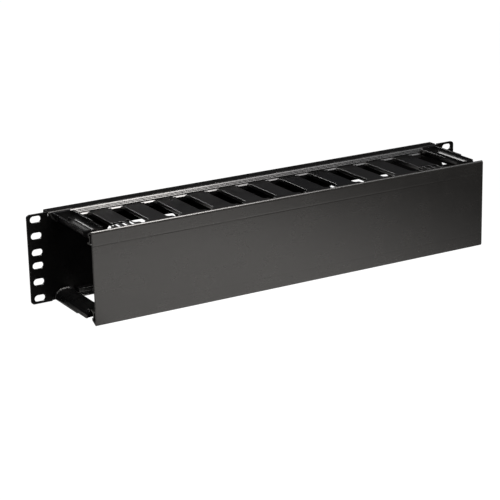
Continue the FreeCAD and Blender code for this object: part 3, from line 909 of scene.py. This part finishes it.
@dataclass
class FingerRow(Assembly):
    """One row of the duct: rail, plain fingers, comb fingers and end fingers."""

    side: Side = Side.UPPER
    finger_edge: float = 0.0004
    comb_edge: float = 0.0002
    comb_pitch: float = 0.007
    comb_slit: float = 0.0034
    comb_length: tuple[float, float] = (0.0646, 0.0500)
    comb_levels: tuple[float, float, float] = (0.0387, 0.0355, 0.0374)
    rail_edge: float = 0.00015
    lip_corner: tuple[float, float] = (0.0061, 0.0381)
    lip_facet: tuple[float, float] = (0.0059, 0.0379)
    lip_reach: float = MILLIMETRE / 20
    rail_crest: tuple[float, float] = (0.004, 0.0432)
    crest_round: float = 0.0005
    end_edge: float = 0.0004
    nose_top: tuple[float, float] = (0.0648, 0.0413)
    nose_tip: tuple[float, float] = (0.067, 0.0391)
    nose_chamfer: float = 0.0002
    nose_step: tuple[float, float] = (0.066, 0.0403)
    rim_height: float = 0.0425
    rim_round: float = 0.0005
    bend_radius: float = 0.0092
    bend_centres: tuple[float, float] = (0.2078, 0.2049)
    bend_level: float = 0.0422
    root_fillet: float = 0.0009
    fillet_steps: int = 6
    fillet_turn: int = 6
    fillet_sunk: float = MILLIMETRE / 20
    root_limit: float = 0.0378
    plain: range = range(2, 11)
    combs: tuple[int, int] = (1, 11)
    dimple_radius: float = 0.0011
    dimple_depth: float = 0.0006
    dimple_facets: int = 24
    dimple_place: tuple[float, float, float] = (0.2064, -0.042, 0.033)
    seeds: dict[Side, int] = field(default_factory=lambda: {Side.UPPER: 3, Side.LOWER: 11})

    def node(self, rest: str) -> str:
        """The name of one of this row's nodes."""
        return f"{self.side.word}_{rest}"

    def pitch(self) -> float:
        """From one finger to the next, measured on the frame.

        Returns:
            The pitch.
        """
        first, last = (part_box(self.node(f"finger_{number}"))[0].x
                       for number in (self.plain[0], self.plain[-1]))
        return (last - first) / (len(self.plain) - 1)

    def build(self) -> None:
        """Build the whole row."""
        self._fingers("finger", list(self.plain), self.pitch(), self.finger_edge)
        span = (self.combs[1] - self.combs[0]) * self.pitch()
        self._fingers("comb_finger", list(self.combs), span, self.comb_edge)
        self._rail()
        for end, way in (("left", -1), ("right", 1)):
            self._end_finger(end, way)

    def _fingers(self, kind: str, numbers: list[int], pitch: float, width: float) -> None:
        """Ease one finger and repeat it along the row.

        Args:
            kind: The kind of finger in node names.
            numbers: The fingers' numbers.
            pitch: From one to the next.
            width: Width of the rounding.
        """
        nodes = [self.node(f"{kind}_{number}") for number in numbers]
        piece = copy_solid(nodes[0], self.node(f"{kind}s"))
        if numbers[0] in self.combs:
            self._open_comb(piece)
        ease_edges(piece, width, full=True)
        self.trees.run(piece, self.trees.row, Count=len(numbers), Pitch=pitch,
                       Seed=self.seeds[self.side], Material=self.finishes.moulded)
        self.hand_over(piece, Coat.MOULDED, *nodes)

    def _open_comb(self, piece: bpy.types.Object) -> None:
        """Run a comb finger's slits back along its blade, and thin the teeth from below.

        Args:
            piece: The first comb finger.
        """
        middle = sum(corner.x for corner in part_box(self.node(f"comb_finger_{self.combs[0]}"))) / 2
        front, rear = self.comb_length
        face, under, skin = self.comb_levels
        half = self.comb_pitch + self.comb_slit
        cuts = [(-half, half, under, skin)]
        for step in (-1, 0, 1):
            centre = step * self.comb_pitch
            cuts.append((centre - self.comb_slit / 2, centre + self.comb_slit / 2, under, face))
        for number, (left, right, low, high) in enumerate(cuts):
            low, high = sorted((self.side.value * low, self.side.value * high))
            cut(piece, box_tool(f"comb_cut_{number}", (middle + left, -front, low),
                                (middle + right, -rear, high)))

    def _rail(self) -> None:
        """Cut back the corners of the rail's lips, round its crest and ease its edges."""
        rail = copy_solid(self.node("rail"), self.node("ridged_rail"))
        ahead, level = self.lip_facet
        for vertex in rail.data.vertices:
            away = Vector((-vertex.co.y, abs(vertex.co.z))) - Vector(self.lip_corner)
            if away.length < self.lip_reach:
                vertex.co.y, vertex.co.z = -ahead, math.copysign(level, vertex.co.z)
        round_line(rail, *self.rail_crest, self.crest_round, 1)
        ease_edges(rail, self.rail_edge, full=True)
        coat(rail, self.finishes.moulded)
        self.hand_over(rail, Coat.MOULDED, self.node("rail"))

    def _end_finger(self, end: str, way: int) -> None:
        """Shape an end finger's nose and root, ease it and sink its moulding dimple.

        Args:
            end: The end's word in node names.
            way: -1 for the left end, 1 for the right.
        """
        node = self.node(f"{end}_end_finger")
        piece = copy_solid(node, self.node(f"{end}_cable_bend"))
        self._square_nose(piece)
        round_line(piece, None, self.rim_height, self.rim_round, 3)
        ease_edges(piece, self.end_edge)
        self._fillet_root(piece, way)
        across, rear, face = self.dimple_place
        depth = self.dimple_depth
        tool = lathe("dimple", ((0.0, -depth), (self.dimple_radius, -depth),
                                (self.dimple_radius, depth), (0.0, depth)), self.dimple_facets)
        turn = Matrix.Rotation(math.radians(90), 4, "X")
        tool.data.transform(Matrix.Translation((way * across, rear, self.side.value * face)) @ turn)
        cut(piece, tool)
        coat(piece, self.finishes.moulded)
        self.hand_over(piece, Coat.MOULDED, node)

    def _square_nose(self, piece: bpy.types.Object) -> None:
        """Draw an end finger's sloping nose forward, and step it for the cover to swing over.

        Args:
            piece: The end finger.
        """
        (back, top), (front, low) = self.nose_top, self.nose_tip
        for vertex in piece.data.vertices:
            ahead, level = -vertex.co.y, abs(vertex.co.z)
            if level < low - SLACK or abs(ahead + level - back - top) > SLACK:
                continue
            share = (ahead - back) / (front - back)
            vertex.co.y = self.nose_chamfer * (1 - share) - front
            vertex.co.z = math.copysign(top - self.nose_chamfer * share, vertex.co.z)
        step, level = self.nose_step
        reach = 2 * CAD_BOX[1][0]
        under, over = sorted((self.side.value * level, self.side.value * 2 * level))
        cut(piece, box_tool("nose_step", (-reach, -2 * front, under), (reach, -step, over)))

    def _fillet_root(self, piece: bpy.types.Object, way: int) -> None:
        """Lay the fillet that runs round an end finger where it meets the plate.

        Args:
            piece: The end finger.
            way: -1 for the left end, 1 for the right.
        """
        radius, sunk = self.root_fillet, self.fillet_sunk
        section = [(-sunk, -radius)]
        for step in range(self.fillet_steps + 1):
            turn = math.pi / 2 * step / self.fillet_steps
            section.append((radius * (1 - math.cos(turn)), radius * (math.sin(turn) - 1)))
        section += [(radius, sunk), (-sunk, sunk)]
        outline = []
        for centre, start in zip(self.bend_centres, (0, 90)):
            for angle in range(start, start + 91, self.fillet_turn):
                side, down = math.cos(math.radians(angle)), math.sin(math.radians(angle))
                if start and self.bend_level - self.bend_radius * down > self.root_limit:
                    break
                outline.append((centre, side, down))
        shape = bmesh.new()
        shape.from_mesh(piece.data)
        rings = []
        for centre, side, down in outline:
            ring = []
            for out, along in section:
                reach = self.bend_radius + out
                ring.append(shape.verts.new((way * (centre + reach * side), along,
                                             self.side.value * (self.bend_level - reach * down))))
            rings.append(ring)
        faces = [shape.faces.new(rings[0]), shape.faces.new(rings[-1])]
        for one, other in zip(rings, rings[1:]):
            for step in range(len(section)):
                following = (step + 1) % len(section)
                corners = (one[step], one[following], other[following], other[step])
                faces.append(shape.faces.new(corners))
        for face in faces:
            face.smooth = len(face.verts) < len(section)
        bmesh.ops.recalc_face_normals(shape, faces=faces)
        shape.to_mesh(piece.data)
        shape.free()


@dataclass
class Cover(Assembly):
    """Extruded cover that swings on the upper beads."""

    body: str = "cover"
    edge_width: float = 0.00025
    solid_round: float = 0.0008
    round_depth: float = 0.0019
    round_height: float = 0.0024

    def build(self) -> None:
        """Build the cover."""
        cover = copy_solid("cover", "hinged_cover")
        self._open_rounds(cover)
        ease_edges(cover, self.edge_width)
        coat(cover, self.finishes.extruded)
        self.hand_over(cover, Coat.EXTRUDED, "cover")

    def _open_rounds(self, cover: bpy.types.Object) -> None:
        """Widen the rounds along the cover's outer edges.

        Args:
            cover: The copied cover.
        """
        low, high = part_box("cover")
        for vertex in cover.data.vertices:
            side = math.copysign(1.0, vertex.co.z)
            edge = high.z if side > 0 else -low.z
            ahead, above = vertex.co.y - low.y, edge - side * vertex.co.z
            if max(ahead, above) > self.solid_round + SLACK:
                continue
            turn = math.atan2(self.solid_round - above, self.solid_round - ahead)
            vertex.co.y = low.y + self.round_depth * (1 - math.cos(turn))
            vertex.co.z = side * (edge - self.round_height * (1 - math.sin(turn)))


# ---------------------------------------------------------------------- studio


@dataclass(frozen=True)
class SoftBox:
    """A large soft light."""

    name: str
    place: tuple[float, float, float]
    target: tuple[float, float, float]
    width: float
    height: float
    power: float
    colour: tuple[float, float, float]

    def hang(self) -> None:
        """Put the light up and aim it."""
        light = bpy.data.lights.new(self.name, "AREA")
        light.shape = "RECTANGLE"
        light.size, light.size_y = self.width, self.height
        light.energy = self.power
        light.color = self.colour
        lamp = bpy.data.objects.new(self.name, light)
        aim = (Vector(self.target) - Vector(self.place)).to_track_quat("-Z", "Y")
        lamp.matrix_world = Matrix.Translation(self.place) @ aim.to_matrix().to_4x4()
        lamp.visible_camera = False
        bpy.context.scene.collection.objects.link(lamp)


@dataclass(frozen=True)
class Studio:
    """Pale floor, dim surroundings, soft boxes and camera."""

    lens: float = 127.24
    sensor: float = 36.0
    sight: float = 50.0
    eye: tuple[float, float, float] = (-0.8398, -1.4417, 0.4972)
    right: tuple[float, float, float] = (0.8622, -0.5062, -0.0214)
    up: tuple[float, float, float] = (0.1710, 0.2507, 0.9529)
    floor_size: float = 12.0
    floor_share: float = 0.93
    floor_white: float = 1.1
    # painted shade: in reflections and bounced light the floor darkens to the right and at the far
    # left, standing in for the room's light falling off
    floor_fall: Ramp = Ramp(-0.02, 0.38, 0.5, 0.05)
    floor_rise: Ramp = Ramp(-0.24, -0.19, 0.3)
    surroundings: tuple[float, float, float] = (0.02, 0.02, 0.022)
    boxes: tuple[SoftBox, ...] = (
        SoftBox("pool", (-0.1, -0.2, 0.45), (-0.1, -0.24, 0.0), 0.5, 0.25, 8.0, (1.0, 0.97, 0.93)),
        SoftBox("overhead", (0.34, -0.40, 1.1), (-0.1, -0.02, 0.04), 0.5, 0.7, 13.0,
                (1.0, 0.95, 0.94)),
        SoftBox("far_overhead", (0.85, -0.36, 1.05), (0.1, -0.02, 0.04), 0.5, 0.7, 3.0,
                (0.95, 0.98, 1.0)),
        SoftBox("key", (-1.1, -0.9, 0.9), (0.0, -0.1, 0.0), 0.5, 0.5, 9.0, (1.0, 0.97, 0.93)),
        SoftBox("rim", (-0.28, 1.2, 0.78), (-0.1, 0.0, 0.04), 0.5, 0.35, 8.0, (1.0, 0.99, 0.98)),
        SoftBox("back", (0.95, 1.9, 0.62), (0.0, 0.0, 0.04), 1.5, 0.8, 0.04, (0.85, 0.93, 1.0)),
    )

    def build(self) -> None:
        """Set up the whole studio."""
        self._camera()
        self._floor()
        self._surroundings()
        for box in self.boxes:
            box.hang()
        bpy.context.scene.view_settings.view_transform = "Standard"

    def _camera(self) -> None:
        """Put the camera up and make it the scene's."""
        camera = bpy.data.cameras.new("camera")
        camera.lens = self.lens
        camera.sensor_width = self.sensor
        camera.clip_end = self.sight
        holder = bpy.data.objects.new("camera", camera)
        right = Vector(self.right).normalized()
        up = (Vector(self.up) - Vector(self.up).dot(right) * right).normalized()
        turn = Matrix((right, up, right.cross(up))).transposed()
        holder.matrix_world = Matrix.Translation(self.eye) @ turn.to_4x4()
        bpy.context.scene.collection.objects.link(holder)
        bpy.context.scene.camera = holder

    def _floor(self) -> None:
        """Lay the floor that the object stands on; to the eye it is an even white, and in
        reflections it is painted shade, darker to the right and at the far left.
        """
        half = self.floor_size / 2
        low = CAD_BOX[0][2]
        mesh = bpy.data.meshes.new("floor")
        corners = [(-half, -half, low), (half, -half, low), (half, half, low), (-half, half, low)]
        mesh.from_pydata(corners, [], [(0, 1, 2, 3)])
        floor = place_piece("floor", mesh)
        material = bpy.data.materials.new("pale floor")
        material.use_nodes = True
        bench = Bench(material.node_tree)
        material.node_tree.nodes.remove(material.node_tree.nodes["Principled BSDF"])
        # painted shade: the floor's matt colour, seen in reflections, falls off to the right and at
        # the far left
        across = bench.part(bench.place(), "X")
        shade = bench.math("MULTIPLY", bench.ramp(across, self.floor_fall),
                           bench.ramp(across, self.floor_rise))
        matt = bench.add("ShaderNodeBsdfDiffuse", Color=shade)
        white = bench.add("ShaderNodeEmission", Color=WHITE, Strength=self.floor_white)
        seen = bench.add("ShaderNodeLightPath").outputs["Is Camera Ray"]
        share = bench.math("MULTIPLY", seen, self.floor_share)
        bench.feed(material.node_tree.nodes["Material Output"], "Surface",
                   bench.mix(share, matt, white))
        coat(floor, material)

    def _surroundings(self) -> None:
        """Set the dim room; straight to the eye it is white, like the floor."""
        world = bpy.data.worlds.new("studio")
        world.use_nodes = True
        bpy.context.scene.world = world
        bench = Bench(world.node_tree)
        dim = world.node_tree.nodes["Background"]
        dim.inputs["Color"].default_value = (*self.surroundings, 1)
        white = bench.add("ShaderNodeBackground", Color=WHITE, Strength=1.0)
        seen = bench.add("ShaderNodeLightPath").outputs["Is Camera Ray"]
        bench.feed(world.node_tree.nodes["World Output"], "Surface", bench.mix(seen, dim, white))


def main() -> None:
    """Build every sub-assembly and the studio around them."""
    logging.basicConfig(level=logging.INFO, format="%(name)s: %(message)s")
    finishes, trees = FinishRack(), RepeatTrees()
    rows = [FingerRow(finishes, trees, side=side) for side in Side]
    BackPlate(finishes, trees).build(rows[0].pitch())
    for row in rows:
        row.build()
    Cover(finishes, trees).build()
    Studio().build()


if __name__ == "__main__":
    main()
